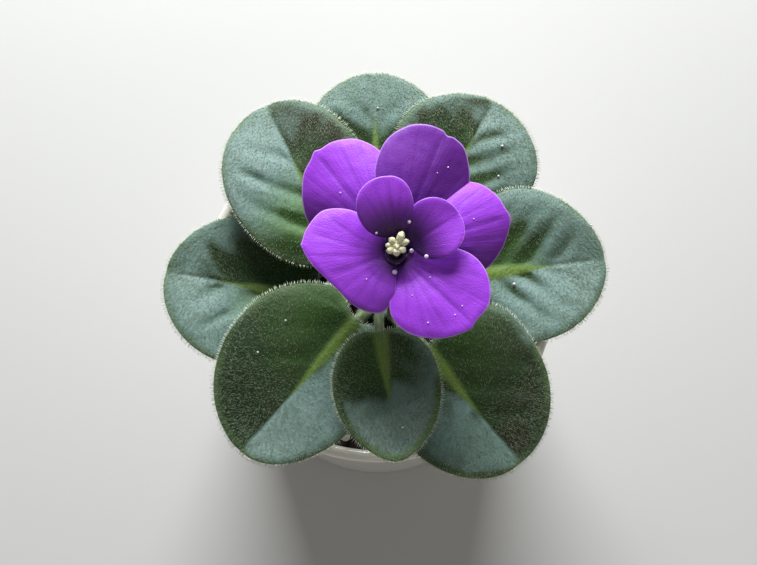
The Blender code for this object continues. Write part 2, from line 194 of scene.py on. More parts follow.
def newBody(marks=()):
    bm = bmesh.new()
    for name in marks:
        bm.verts.layers.float.new(name)
    return bm


def finishPiece(name, bm, skins, nodes=()):
    bmesh.ops.scale(bm, vec=(mm, mm, mm), verts=bm.verts)
    mesh = bodyMesh(name, bm)
    for skin in skins:
        mesh.materials.append(skin)
    mesh.shade_smooth()
    piece = addObject(name, mesh)
    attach(piece, "root")
    if nodes:
        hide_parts(*nodes)
    return piece


def onBearing(degrees, radius):
    angle = math.radians(degrees)
    return radius * math.cos(angle), radius * math.sin(angle)


def smooth(low, high, value):
    share = max(0.0, min(1.0, (value - low) / (high - low)))
    return share * share * (3 - 2 * share)


def bell(distance, width):
    return math.exp(-(distance / width) ** 2)


def ripple(x, y, size, seed):
    return noise.noise(Vector((x / size, y / size, seed)))


def scatter(draw):
    return Vector((draw.gauss(0, 1), draw.gauss(0, 1), draw.gauss(0, 1)))


def onlyVerts(geom):
    return [g for g in geom if isinstance(g, bmesh.types.BMVert)]


def bezierPath(a, b, c, d, count):
    path = []
    for i in range(count):
        t = i / (count - 1)
        path.append((1 - t) ** 3 * a + 3 * (1 - t) ** 2 * t * b + 3 * (1 - t) * t * t * c + t ** 3 * d)
    return path


def addRod(bm, path, radii, sides=12, skinIndex=0):
    # a bevelled curve through the path, capped, joined to the mesh
    curve = bpy.data.curves.new("rodPath", "CURVE")
    curve.dimensions = "3D"
    curve.bevel_depth = 1.0
    curve.bevel_resolution = sides // 4 - 1
    curve.use_fill_caps = True
    spline = curve.splines.new("POLY")
    spline.points.add(len(path) - 1)
    for point, place, radius in zip(spline.points, path, radii):
        point.co = (*place, 1)
        point.radius = radius
    holder = addObject("rodPath", curve)
    mesh = bpy.data.meshes.new_from_object(holder.evaluated_get(bpy.context.evaluated_depsgraph_get()))
    before = len(bm.faces)
    bm.from_mesh(mesh)
    bm.faces.ensure_lookup_table()
    added = bm.faces[before:]
    for face in added:
        face.material_index = skinIndex
    corners = list({v for face in added for v in face.verts})
    bmesh.ops.remove_doubles(bm, verts=corners, dist=0.0001)
    bpy.data.objects.remove(holder)
    bpy.data.curves.remove(curve)
    bpy.data.meshes.remove(mesh)


def spinBody(bm, profile, segments, place=None):
    # the profile's ends lie on the axis
    points = [bm.verts.new((radius, 0, z)) for radius, z in profile]
    edges = [bm.edges.new(pair) for pair in zip(points, points[1:])]
    bmesh.ops.spin(bm, geom=points + edges, cent=(0, 0, 0), axis=(0, 0, 1), angle=2 * math.pi, steps=segments,
                   use_merge=True)
    bmesh.ops.remove_doubles(bm, verts=bm.verts, dist=0.0005)
    bmesh.ops.recalc_face_normals(bm, faces=bm.faces)
    if place is not None:
        bmesh.ops.transform(bm, matrix=place, verts=bm.verts)


def roundGrid(bm, cells):
    # a square grid pulled round: its vertices, and where each stands in a circle of radius 1
    verts = bmesh.ops.create_grid(bm, x_segments=cells, y_segments=cells, size=1)["verts"]
    spots = {}
    for v in verts:
        spots[v] = (v.co.x * math.sqrt(1 - v.co.y ** 2 / 2), v.co.y * math.sqrt(1 - v.co.x ** 2 / 2))
    return verts, spots


def addSheet(bm, look, edgeAt, centre, surface, marks, keel=None):
    # a round grid drawn out to the outline, doubled for the underside and closed along its margin
    thickness, edgeThickness = look["thickness"], look["edgeThickness"]
    top, spots = roundGrid(bm, look["cells"])
    for v, (x, y) in spots.items():
        share = min(1.0, math.hypot(x, y))
        edgeX, edgeY = edgeAt(math.degrees(math.atan2(y, x)))
        spots[v] = (centre[0] + share * (edgeX - centre[0]), centre[1] + share * (edgeY - centre[1]), share)
    for v in top:
        v.co = surface(*spots[v])
        for name, value in marks(*spots[v]).items():
            v[bm.verts.layers.float[name]] = value
    faces = list({f for v in top for f in v.link_faces})
    bmesh.ops.recalc_face_normals(bm, faces=faces)
    if sum(f.normal.z for f in faces) < 0:
        bmesh.ops.reverse_faces(bm, faces=faces)
    bm.normal_update()
    # how far each vertex leans towards the back, where the window lamp stands, is kept to drive the painted
    # sheen
    tilt = bm.verts.layers.float.get("sheenTilt")
    if tilt:
        for v in top:
            v[tilt] = v.normal.y
    edges = list({e for f in faces for e in f.edges})
    rims = [e for e in edges if e.is_boundary]
    copy = bmesh.ops.duplicate(bm, geom=top + edges + faces)
    under = {v: copy["vert_map"][v] for v in top}
    below = bm.verts.layers.float["below"]
    for v in top:
        depth = thickness + (edgeThickness - thickness) * spots[v][2] ** 3
        if keel:
            depth += keel(*spots[v])
        under[v].co = v.co - v.normal * depth
        under[v][below] = 1.0
    lowFaces = [g for g in copy["geom"] if isinstance(g, bmesh.types.BMFace)]
    bmesh.ops.reverse_faces(bm, faces=lowFaces)
    lowRims = [e for e in {e for f in lowFaces for e in f.edges} if e.is_boundary]
    band = bmesh.ops.bridge_loops(bm, edges=rims + lowRims)["faces"]
    # the margin is rounded by one more loop, pushed out
    outward = {}
    for v in top:
        if spots[v][2] > 0.9999:
            outward[v] = Vector((0, 0, 0))
            for e in v.link_edges:
                other = e.other_vert(v)
                if other in spots and spots[other][2] < 0.9999:
                    outward[v] = (v.co - other.co).normalized()
    bandEdges = {e for f in band for e in f.edges}
    crossEdges = [e for e in bandEdges if (e.verts[0] in spots) != (e.verts[1] in spots)]
    fresh = bmesh.ops.subdivide_edges(bm, edges=crossEdges, cuts=1)["geom_inner"]
    for v in onlyVerts(fresh):
        for e in v.link_edges:
            other = e.other_vert(v)
            if other in outward:
                v.co += outward[other] * edgeThickness * 0.4
                break


def addHairs(bm, roots, radius, skinIndex=0):
    # one three-sided spike, doubled until there are enough, then each is set on its root
    spike = bmesh.new()
    bmesh.ops.create_cone(spike, cap_ends=True, segments=3, radius1=1, radius2=0, depth=1)
    count = 1
    while count < len(roots):
        take = min(count, len(roots) - count)
        tips = [v for v in spike.verts if v.co.z > 0][:take]
        chosen = {v for tip in tips for v in (tip, *(e.other_vert(tip) for e in tip.link_edges))}
        faces = {f for v in chosen for f in v.link_faces}
        edges = {e for v in chosen for e in v.link_edges}
        bmesh.ops.duplicate(spike, geom=list(chosen) + list(edges) + list(faces))
        count += take
    tips = [v for v in spike.verts if v.co.z > 0]
    for tip, (place, lean, length, thick) in zip(tips, roots):
        turn = lean.to_track_quat("Z", "X")
        wide = radius * thick
        for v in (tip, *[e.other_vert(tip) for e in tip.link_edges]):
            v.co = place + turn @ Vector((v.co.x * wide, v.co.y * wide, (v.co.z + 0.45) * length))
    for face in spike.faces:
        face.material_index = skinIndex
    mesh = bodyMesh("hairs", spike)
    bm.from_mesh(mesh)
    bpy.data.meshes.remove(mesh)


leafLook = {
    "cells": 84,
    "thickness": 0.9,
    "edgeThickness": 0.5,
    "keel": 0.5,  # how far the midrib stands out below
    "trough": 0.22,  # slope of each half where it leaves the midrib
    "veinSpots": (-0.24, 0.03, 0.29, 0.55),  # where the side veins leave the midrib, share of length
    "veinDepth": 0.55,
    "veinWidth": 1.5,
    "hairs": 9500,
    "underHairs": 420,
    "stalkHairs": 320,
    "hairLength": (0.5, 1.0),
    "hairRadius": 0.037,
    "bareHeart": 0.7,  # share of hairs left out where the blade is greenest
    "fringeGap": 0.44,
    "fringeLength": (1.0, 1.45),
    "fringeRadius": 0.15,
    "crownRadius": 5.6,
    "stalkSteps": 22,
    "ribSteps": 14,  # the stalk runs on under the blade in so many steps
    "ribStep": 0.05,
    "marks": ("rib", "vein", "margin", "heart", "below", "sheenTilt", "shine"),
}
# a negative egg widens the base, point draws out the tip and lobe the base beside the stalk, square fills
# the corners, rise and fall are slopes; the two sheen amounts say how much painted sheen each half gets, more
# towards the tip with the tip's own amount, and heart says how green each half is, which also damps that
# sheen
plainBlade = dict(egg=0.0, point=0.0, lobe=0.0, square=1.0, cup=0.0, tipUp=0.0, quilt=0.6,
                  shine=(0.0, 0.0), heart=(1.0, 1.0), tipSheenPaint=0.0, greenEdge=0.25)
# base is where stalk and blade meet, z above the rim; heading and root are bearings; foot is below the rim
leafShapes = {
    "leaf_back": dict(
        base=(-0.5, 25, 3.5), heading=91, length=34.5, left=18.5, right=18.5,
        egg=-0.14, point=0.01, lobe=0.07, rise=14, fall=14, cup=-0.3, quilt=0.5,
        root=91, foot=6.5, stalk=1.5, shine=(0.30, 0.30)),
    "leaf_back_left": dict(
        base=(-11.5, 8, 11.5), heading=116, length=43.5, left=20, right=17,
        egg=-0.03, lobe=0.13, rise=14, fall=16, cup=0.3, quilt=0.65,
        root=146, foot=5, stalk=1.6, shine=(0.64, -0.06), tipSheenPaint=0.05),
    "leaf_left": dict(
        base=(-18, -5, 4.5), heading=169, length=39.5, left=21.5, right=18.5,
        egg=-0.14, lobe=0.07, rise=14, fall=16, cup=0.5, quilt=0.5,
        root=197, foot=6.5, stalk=1.5, shine=(0.30, 0.27), tipSheenPaint=0.05),
    "leaf_front_left": dict(
        base=(-5.5, -14, 17), heading=229, length=43.5, left=17.5, right=22,
        egg=-0.13, point=0.01, lobe=0.12, square=0.93, rise=10, fall=18, cup=1.1, quilt=0.18,
        root=241, foot=6.5, stalk=1.6, shine=(0.42, -0.06), heart=(0.5, 1.0), tipSheenPaint=0.03),
    "leaf_front": dict(
        base=(0.5, -18.5, 24), heading=278, length=31, left=12.7, right=13.3,
        egg=-0.11, point=0.03, lobe=0.05, rise=6, fall=22, cup=1.7, tipUp=1.1, quilt=0.15,
        root=278, foot=0.5, stalk=1.25, shine=(0.34, 0.02), heart=(0.6, 1.0), tipSheenPaint=0.90, greenEdge=1.0),
    "leaf_front_right": dict(
        base=(12, -21, 16), heading=309.5, length=37, left=21, right=19,
        egg=-0.28, point=0.005, lobe=0.16, square=0.78, rise=10, fall=18, cup=1.3, quilt=0.3,
        root=298, foot=6, stalk=1.7, shine=(-0.05, 0.20), heart=(1.0, 0.35), tipSheenPaint=0.03),
    "leaf_right": dict(
        base=(27, -0.5, 12), heading=8, length=32.5, left=20.5, right=19.2,
        egg=-0.26, lobe=0.09, square=0.93, rise=10, fall=14, cup=0.6, quilt=0.75,
        root=358, foot=6, stalk=1.6, shine=(0.50, 0.34), heart=(1.0, 0.35), tipSheenPaint=0.05),
    "leaf_back_right": dict(
        base=(17, 22.5, 8.5), heading=61.5, length=30.3, left=18.5, right=20,
        egg=-0.19, point=0.015, lobe=0.075, square=0.96, rise=14, fall=16, cup=0.3, quilt=0.75,
        root=51, foot=6.5, stalk=1.5, shine=(0.02, 0.30), heart=(1.0, 0.6), tipSheenPaint=0.05),
}


def leafEdge(turn, leaf):
    # turn is 0 at the tip and 180 at the base
    c, s = math.cos(math.radians(turn)), math.sin(math.radians(turn))
    length = leaf["length"]
    along = 0.5 * length * (1 + math.copysign(abs(c) ** leaf["square"], c))
    along += leaf["point"] * length * max(0.0, c) ** 12
    along -= leaf["lobe"] * length * ((1 - c) / 2) ** 3 * (1 - bell(s, 0.25))
    halfWidth = leaf["left"] if s > 0 else leaf["right"]
    return along, halfWidth * math.copysign(abs(s) ** leaf["square"], s) * (1 + leaf["egg"] * c)


def archedBlade(leaf, base, trough, crease=0.10):
    # the blade bends down from rise to fall, and each half climbs from a crease at the midrib and levels out
    length, rise, fall = leaf["length"], leaf["rise"], leaf["fall"]
    halfWidth = (leaf["left"] + leaf["right"]) / 2
    turn = math.radians(-fall - rise) / length
    start = math.radians(rise)
    flat = Vector((*onBearing(leaf["heading"], 1), 0))
    toLeft = Vector((-flat.y, flat.x, 0))

    def put(along, across, lift=0.0):
        slope = start + turn * along
        reach = (math.sin(slope) - math.sin(start)) / turn
        up = (math.cos(start) - math.cos(slope)) / turn
        normal = Vector((0, 0, 1)) * math.cos(slope) - flat * math.sin(slope)
        c = max(-0.98, min(0.98, 2 * along / length - 1))
        sideWidth = leaf["left"] if across > 0 else leaf["right"]
        taper = math.sqrt(1 - c * c) * (1 + leaf["egg"] * c)
        here = 0.5 * (halfWidth + sideWidth) * taper
        bend = crease + 0.22 * smooth(0.6, 1.0, along / length)
        u = math.hypot(across / here, bend) - bend
        if u > 0.8:  # close to the margin the climb stops
            u = 0.8 + 0.3 * (1 - math.exp((0.8 - u) / 0.3))
        swell = trough * (here * (u - 0.6 * u ** 3) - 0.4 * halfWidth * taper)
        return base + flat * reach + Vector((0, 0, up)) + toLeft * across + normal * (swell + lift)

    return put


def facing(put, x, y):
    step = 0.05
    return (put(x + step, y) - put(x - step, y)).cross(put(x, y + step) - put(x, y - step)).normalized()


def veinGap(leaf, along, across):
    # distance in mm to the nearest side vein; the veins leave the midrib at a slant and curve to the tip
    width = abs(across)
    phase = along - 0.80 * width - 0.011 * width * width
    shift = 0.035 if across > 0 else 0.0
    return min(abs(phase - (spot + shift) * leaf["length"]) * 0.76 for spot in leafLook["veinSpots"])


def quiltPatches(leaf, along, across):
    # the quilting is strong in some patches and missing in others
    return max(0.0, 1 + 1.7 * noise.noise(Vector((along / 12, across / 9, leaf["heading"] + 20))))


def addBlade(bm, look, leaf, surface, marks, keel=None):
    addSheet(bm, look, lambda turn: leafEdge(turn, leaf), (0.5 * leaf["length"], 0), surface, marks, keel)


def bladeBase(leaf):
    return Vector(leaf["base"]) + Vector((0, 0, rimHeight))


def leafRelief(leaf, along, across, share):
    t = along / leaf["length"]
    scale = min(1.0, leaf["length"] / 40)
    width, seed = abs(across), leaf["heading"]
    gap = veinGap(leaf, along, across)
    fade = (1 - smooth(0.5, 0.93, share)) * smooth(0.2, 2.2, width) * (1 - 0.6 * smooth(0.7, 1.0, t))
    fade *= leaf["quilt"] * quiltPatches(leaf, along, across)
    lift = -leafLook["veinDepth"] * scale * bell(gap, leafLook["veinWidth"]) * fade
    lift += 0.28 * scale * smooth(0.8, 3.6, gap) * fade  # cushions between the veins
    lift -= 0.20 * bell(width, 0.6) * smooth(0.3, 0.6, t) * (1 - smooth(0.7, 0.95, share))  # midrib, sunk
    lift += 0.50 * bell(width, 1.4) * (1 - smooth(0.1, 0.6, t))  # and proud where the stalk arrives
    lift += leaf["tipUp"] * max(0.0, (t - 0.45) / 0.55) ** 2
    lift += 0.45 * scale * ripple(along, across, 13, seed) * (1 - smooth(0.8, 1.0, share))
    lift += 0.06 * ripple(along, across, 3.2, seed + 5) * (1 - smooth(0.85, 1.0, share))
    lift -= leaf["cup"] * (1 - share * share)
    lift -= 0.30 * max(0.0, (share - 0.88) / 0.12) ** 2  # the margin rolls under
    lift += 0.16 * smooth(0.85, 1.0, share) * ripple(along, across, 6, seed + 9)
    return lift


def leafMarks(leaf, along, across, share):
    t = along / leaf["length"]
    ribWidth = 1.9 - 1.5 * smooth(0.0, 0.65, t)
    rib = bell(abs(across), ribWidth) * (1 - 0.85 * smooth(0.25, 0.75, t))
    vein = bell(veinGap(leaf, along, across), 1.9) * (1 - smooth(0.5, 0.9, share))
    vein *= min(1.0, leaf.get("veinTint", leaf["quilt"]) * quiltPatches(leaf, along, across))
    fromBase = math.hypot(along, across) / leaf["length"]
    # painted sheen: how much each half is painted as lit, with more towards the tip
    onLeft = smooth(-1.0, 1.0, across)
    left, right = leaf["shine"]
    shine = right + (left - right) * onLeft + leaf["tipSheenPaint"] * smooth(0.3, 1.0, t)
    left, right = leaf["heart"]
    heart = (right + (left - right) * onLeft) * (1 - smooth(0.08, 0.85, fromBase))
    heart = max(heart, leaf["greenEdge"] * smooth(0.76, 1.0, share) * smooth(0.2, 0.6, t))
    return {"rib": rib, "vein": vein, "margin": share, "heart": heart, "below": 0.0, "shine": shine}


leafColours = {
    "dark": (0.009, 0.025, 0.007, 1),
    "olive": (0.024, 0.021, 0.010, 1),
    "vivid": (0.025, 0.080, 0.004, 1),  # the green heart and the furrows
    "midrib": (0.155, 0.255, 0.040, 1),
    "paintedSheen": (0.150, 0.245, 0.220, 1),  # painted sheen on the slopes that face the window lamp, and where it is brightest
    "brightPaintedSheen": (0.225, 0.330, 0.310, 1),
    "greenPaintedSheen": (0.120, 0.240, 0.060, 1),
    "edge": (0.130, 0.215, 0.085, 1),
    "grain": (0.060, 0.110, 0.055, 1),
    "below": (0.16, 0.24, 0.10, 1),
    "paleBelow": (0.24, 0.30, 0.15, 1),
}


def makeLeafSkin():
    look = leafColours
    skin = newSkin("hairyLeafSkin", Roughness=0.60, Sheen_Weight=0.10, Sheen_Roughness=0.45,
                   Sheen_Tint=(0.85, 0.95, 0.75, 1), Specular_IOR_Level=0.30,
                   Specular_Tint=(0.95, 1.0, 0.88, 1))
    heart, vein = mark(skin, "heart"), mark(skin, "vein")
    colour = blend(skin, ramp(skin, mottle(skin, 85, 3, 0.55), 0.42, 0.66), look["dark"], look["olive"])
    green = times(skin, heart, ramp(skin, mottle(skin, 60, 2), 0.25, 0.6, 0.45, 1.0))
    furrow = times(skin, vein, ramp(skin, heart, 0.0, 0.6, 0.2, 0.8))
    for amount in (green, furrow):
        colour = blend(skin, amount, colour, look["vivid"])
    # painted sheen: the slopes that lean towards the back, towards the window lamp, are painted silvery as if
    # lit by it
    lean = maths(skin, "ADD", mark(skin, "sheenTilt"), mark(skin, "shine"))
    for scale, detail, rough, sway in ((260, 3, 0.6, 0.06), (75, 2, 0.5, 0.09)):
        uneven = ramp(skin, mottle(skin, scale, detail, rough), 0.3, 0.7, -sway, sway)
        lean = maths(skin, "ADD", lean, uneven)
    # the green heart and the vein furrows hold the painted sheen back
    for amount, pull in ((heart, 0.58), (vein, 0.34)):
        lean = maths(skin, "SUBTRACT", lean, times(skin, amount, pull))
    sheenColour = blend(skin, ramp(skin, lean, 0.24, 0.60), look["paintedSheen"], look["brightPaintedSheen"])
    sheenColour = blend(skin, ramp(skin, heart, 0.3, 1.0), sheenColour, look["greenPaintedSheen"])
    colour = blend(skin, ramp(skin, lean, -0.12, 0.20), colour, sheenColour)
    colour = blend(skin, ramp(skin, mark(skin, "rib"), 0.12, 0.70), colour, look["midrib"])
    patchy = ramp(skin, mottle(skin, 70, 2), 0.4, 0.6, 0.15, 0.75)
    edge = times(skin, ramp(skin, mark(skin, "margin"), 0.90, 1.0), patchy)
    colour = blend(skin, edge, colour, look["edge"])
    grain = mottle(skin, 1500, 2, 0.6)
    colour = blend(skin, ramp(skin, grain, 0.40, 0.75, 0.0, 0.3), colour, look["grain"])
    below = blend(skin, mottle(skin, 200, 3), look["below"], look["paleBelow"])
    paint(skin, blend(skin, mark(skin, "below"), colour, below))
    cells = addNode(skin, "ShaderNodeTexVoronoi", {"Vector": onObject(skin), "Scale": 520})
    addBump(skin, cells.outputs["Distance"], 0.0002, 0.4)
    addBump(skin, grain, 0.00016, 0.8)
    return skin


def makeStalkSkin():
    return mottledSkin("hairyStalkSkin", (0.14, 0.215, 0.065, 1), (0.20, 0.25, 0.12, 1),
                       (140, 3, 0.6, 0.35, 0.7), [(900, 2, 0.5, 0.0002, 0.7)],
                       Roughness=0.5, Sheen_Weight=0.4, Sheen_Roughness=0.4, Sheen_Tint=(0.85, 0.95, 0.88, 1))


def makeHairSkin(name, low, high):
    return mottledSkin(name, low, high, (400, 1, 0.5, 0, 1), [], Roughness=0.42, Specular_IOR_Level=0.5)


def bladeHairRoots(leaf, put, draw, count, below=False):
    roots = []
    for i in range(count):
        share = math.sqrt(draw.random())
        edgeX, edgeY = leafEdge(draw.uniform(0, 360), leaf)
        outX = edgeX - 0.5 * leaf["length"]
        x, y = 0.5 * leaf["length"] + share * outX, share * edgeY
        if draw.random() < leafLook["bareHeart"] * leafMarks(leaf, x, y, 0.0)["heart"]:
            continue
        up, side = facing(put, x, y), scatter(draw)
        place = put(x, y, leafRelief(leaf, x, y, share))
        if below:
            roots.append((place - up * 0.8, (-up + side * 0.4).normalized(), draw.uniform(0.5, 0.9), 1.0))
            continue
        out = (put(x + 0.1 * outX, y + 0.1 * edgeY) - put(x, y)).normalized()
        swirl = 1.1 * ripple(x, y, 5, leaf["heading"] + 40)
        out = Matrix.Rotation(swirl, 3, up) @ out
        lean = up * 0.62 + out * (0.55 + 0.4 * share ** 4) + side * 0.20
        length = draw.uniform(*leafLook["hairLength"]) * (0.85 + 0.2 * share)
        roots.append((place, lean.normalized(), length, draw.uniform(0.8, 1.2)))
    return roots


def fringeRoots(leaf, put, draw):
    roots = []
    middle, step, around = 0.5 * leaf["length"], 0.5, 0.0
    while around < 360:
        edgeX, edgeY = leafEdge(around, leaf)
        nextX, nextY = leafEdge(around + step, leaf)
        speed = max(0.02, math.hypot(nextX - edgeX, nextY - edgeY) / step)
        here = put(edgeX, edgeY, leafRelief(leaf, edgeX, edgeY, 1.0))
        out = (here - put(middle + 0.9 * (edgeX - middle), 0.9 * edgeY)).normalized()
        up = facing(put, edgeX, edgeY)
        lean = out + up * draw.gauss(0.25, 0.30) + Vector((draw.gauss(0, 0.15), draw.gauss(0, 0.15), 0))
        here = here - up * draw.uniform(0.05, 0.30)
        length = draw.uniform(*leafLook["fringeLength"])
        roots.append((here, lean.normalized(), length, draw.uniform(0.8, 1.2)))
        around += draw.uniform(0.5, 1.5) * leafLook["fringeGap"] / speed
    return roots


def stalkHairRoots(path, radii, draw, count):
    roots = []
    for i in range(count):
        k = draw.randrange(len(path) - 1)
        t = draw.random()
        ahead = (path[k + 1] - path[k]).normalized()
        across = ahead.orthogonal().normalized()
        out = Matrix.Rotation(draw.uniform(0, 2 * math.pi), 3, ahead) @ across
        place = path[k].lerp(path[k + 1], t) + out * (radii[k] * (1 - t) + radii[k + 1] * t) * 0.97
        lean = out + ahead * 0.3 + scatter(draw) * 0.25
        roots.append((place, lean.normalized(), draw.uniform(0.5, 1.0), 1.0))
    return roots


def makeBlade(name, leaf, look, put, path, radii, skins, draw):
    # a blade with its stalk, and then their hairs
    def keel(x, y, share):
        fade = (1 - smooth(0.1, 0.95, x / leaf["length"])) * (1 - smooth(0.9, 1, share))
        return look["keel"] * bell(y, 0.9) * fade

    bm = newBody(leafLook["marks"])
    addBlade(bm, look, leaf, lambda x, y, share: put(x, y, leafRelief(leaf, x, y, share)),
             lambda x, y, share: leafMarks(leaf, x, y, share), keel)
    addRod(bm, path, radii, 12, 1)
    finishPiece(name + "_blade", bm, skins[:2], [name])

    steps = look["stalkSteps"]
    bm = newBody()
    roots = bladeHairRoots(leaf, put, draw, look["hairs"])
    roots += bladeHairRoots(leaf, put, draw, look["underHairs"], True)
    roots += stalkHairRoots(path[:steps], radii[:steps], draw, look["stalkHairs"])
    addHairs(bm, roots, look["hairRadius"])
    addHairs(bm, fringeRoots(leaf, put, draw), look["fringeRadius"], 1)
    finishPiece(name + "_hairs", bm, skins[2:])


def makeLeaf(name, shape, skins, draw):
    leaf = dict(plainBlade, **shape)
    base = bladeBase(leaf)
    put = archedBlade(leaf, base, leafLook["trough"])
    length, stalk = leaf["length"], leaf["stalk"]

    # the stalk curves from the crown to the blade and runs on under it as the midrib
    out = Vector((*onBearing(leaf["root"], 1), 0))
    end = base - Vector((0, 0, 0.9 * stalk))
    foot = rimHeight - leaf["foot"]
    climb = 0.9 * math.atan2(end.z - foot, math.hypot(end.x, end.y) - leafLook["crownRadius"])
    start = out * (leafLook["crownRadius"] + stalk * math.sin(climb)) + Vector((0, 0, foot))
    leaving = out * math.cos(climb) + Vector((0, 0, math.sin(climb)))
    reach = (end - start).length
    rise = math.radians(leaf["rise"])
    ahead = Vector((*onBearing(leaf["heading"], math.cos(rise)), math.sin(rise)))
    steps = leafLook["stalkSteps"]
    path = bezierPath(start, start + leaving * 0.35 * reach, end - ahead * 0.3 * reach, end, steps)
    radii = [stalk * (1.12 - 0.16 * smooth(0, 8, i)) for i in range(steps)]
    for i in range(leafLook["ribSteps"]):
        along = leafLook["ribStep"] * (i + 1)
        radius = stalk * (1 - along) * 0.96
        depth = radius - 0.15 * (1 - smooth(0.0, 0.15, along)) + 0.12
        place = put(along * length, 0, leafRelief(leaf, along * length, 0, abs(2 * along - 1)))
        path.append(place - facing(put, along * length, 0) * depth)
        radii.append(radius)
    makeBlade(name, leaf, leafLook, put, path, radii, skins, draw)


youngLook = {
    "cells": 30,
    "thickness": 0.8,
    "edgeThickness": 0.45,
    "keel": 0.0,
    "trough": 0.35,
    "stalk": 0.9,
    "stalkSteps": 14,
    "crownTop": 1.4,
    "hairs": 900,
    "underHairs": 0,
    "stalkHairs": 160,
    "hairRadius": 0.8 * leafLook["hairRadius"],
    "fringeRadius": 0.8 * leafLook["fringeRadius"],
}
youngBlade = dict(plainBlade, point=0.03, veinTint=0.5)
# base and root, where the stalk leaves the crown, are places beside the pot's axis, base with its height too
youngShapes = {
    "young_leaf_left": dict(
        base=(-8, -4, 7), heading=212, length=9, left=4, right=4, rise=42, fall=-8, root=(-3.6, -1.5)),
    "young_leaf_right": dict(
        base=(8.5, -4.5, 8), heading=332, length=11, left=4.5, right=4.5, rise=38, fall=-6, root=(3.6, -1.4)),
    "young_leaf_back": dict(
        base=(4, 8.5, 8), heading=62, length=11, left=4.5, right=4.5, rise=40, fall=-6, root=(0.8, 3.8)),
}


def makeYoungLeaf(name, shape, skins, draw):
    leaf = dict(youngBlade, **shape)
    base = bladeBase(leaf)
    put = archedBlade(leaf, base, youngLook["trough"])
    inBlade = 0.35 * leaf["length"]
    start = Vector((*leaf["root"], rimHeight + youngLook["crownTop"] - 0.3))
    reach = (base - start).length
    end = put(inBlade, 0) - facing(put, inBlade, 0) * 0.7
    under = base - Vector((0, 0, 0.8))
    steps = youngLook["stalkSteps"]
    path = bezierPath(start, start + Vector((0, 0, 0.45 * reach)), under - (end - under) * 0.8, under, steps)
    makeBlade(name, leaf, youngLook, put, path + [end], [youngLook["stalk"]] * steps + [0.5], skins, draw)


flowerLook = {
    "centre": (4.2, -2.6, 123.0),
    "tilt": 8.0,
    "outer": {"cells": 60, "thickness": 0.5, "edgeThickness": 0.35},
    "inner": {"cells": 44, "thickness": 0.5, "edgeThickness": 0.35,
              "trough": 0.3, "crease": 0.5, "spread": 42},
    "layerGap": 0.9,
    "clawRadius": 2.7,
    "fan": (0.27, 0.52, 0.78),  # side veins, share of the way from the middle to the edge
    "marks": ("bearing", "reach", "vein", "rim", "below", "shade"),
}
flowerTilt = Matrix.Rotation(math.radians(flowerLook["tilt"]), 4, "X")
flowerPlace = Matrix.Translation(flowerLook["centre"]) @ flowerTilt
# corners are (bearing, reach) round the edge; lean lifts the outer end, cup domes the middle, dome rounds it
# about the ridge; the shade triple is painted shade: how dark the petal is painted at its middle, how much
# that changes in 10 mm, and towards which bearing
outerPetals = {
    "petal_upper_left": dict(
        layer=0, lean=0.0, cup=0.35, dome=0.014, ridge=-6, shade=(0.35, 1.30, 262), corners=[
            (88, 8), (92, 18), (98, 25), (108, 29.5), (118, 31.3), (125, 31.5), (128, 32.0), (131.5, 31.0),
            (139, 29.6), (150, 26), (160, 22), (168, 15), (168, 8)]),
    "petal_upper_right": dict(
        layer=1, lean=0.11, cup=0.2, dome=0.012, ridge=8, shade=(0.92, 0.20, 320), corners=[
            (31, 11.5), (34, 17.2), (38.5, 21.3), (46, 25.8), (56, 30.2), (62.5, 31.3), (66.5, 31.0),
            (69.5, 31.8), (77, 31.8), (85, 30.6), (95, 27), (104, 20.5), (108, 13), (106, 7)]),
    "petal_right": dict(
        layer=0, lean=0.02, cup=0.3, dome=0.020, ridge=2, shade=(0.25, 0.70, 290), corners=[
            (342, 8), (345, 15), (350, 21.5), (362, 25.3), (371, 27.5), (377.5, 28.9), (383, 28.5), (391, 28),
            (402, 26), (414, 21), (418, 12), (415, 6)]),
    "petal_lower_right": dict(
        layer=1, lean=0.25, cup=0.2, dome=0.006, ridge=0, shade=(0.0, 0.0, 0), corners=[
            (262, 7), (265, 14.8), (279, 19.7), (297, 23.2), (312, 25.3), (318, 25.0), (331, 25), (346, 22),
            (358, 17.5), (368, 11), (370, 6)]),
    "petal_lower_left": dict(
        layer=2, lean=0.21, cup=0.2, dome=0.012, ridge=-1, shade=(0.05, 0.35, 290), corners=[
            (131, 10), (138, 15), (150, 19.8), (164, 21.6), (174, 22.2), (178, 22.2), (190, 19.9),
            (210, 16.8), (235, 16.2), (256, 15), (268, 11), (271, 6.5)]),
}
# bearing, radius and height are where the petal's foot stands in the flower
innerPetals = {
    "petal_inner_left": dict(
        bearing=98, radius=3.1, height=3.2, heading=97, length=16, left=8, right=5.3,
        egg=0.12, rise=56, fall=14),
    "petal_inner_right": dict(
        bearing=24, radius=3.5, height=3.2, heading=31, length=14.4, left=7.4, right=7.2,
        egg=0.04, rise=35, fall=12),
}


def petalKnots(petal):
    # the corners and, round the claw, four more
    corners, claw = petal["corners"], flowerLook["clawRadius"]
    first, last = corners[0][0], corners[-1][0]
    foot = [(last + 3, claw + 1.0), ((2 * last + first) / 3, claw), ((last + 2 * first) / 3, claw),
            (first - 3, claw + 1.0)]
    return [Vector(onBearing(bearing, reach)) for bearing, reach in corners + foot]


def petalEdge(knots, turn):
    # a smooth closed line through the knots
    count = len(knots)
    place = (turn % 360) / 360 * count
    i, t = int(place), place % 1.0
    p0, p1, p2, p3 = (knots[(i + k) % count] for k in (-1, 0, 1, 2))
    return 0.5 * (2 * p1 + (p2 - p0) * t + (2 * p0 - 5 * p1 + 4 * p2 - p3) * t * t
                  + (3 * p1 - p0 - 3 * p2 + p3) * t ** 3)


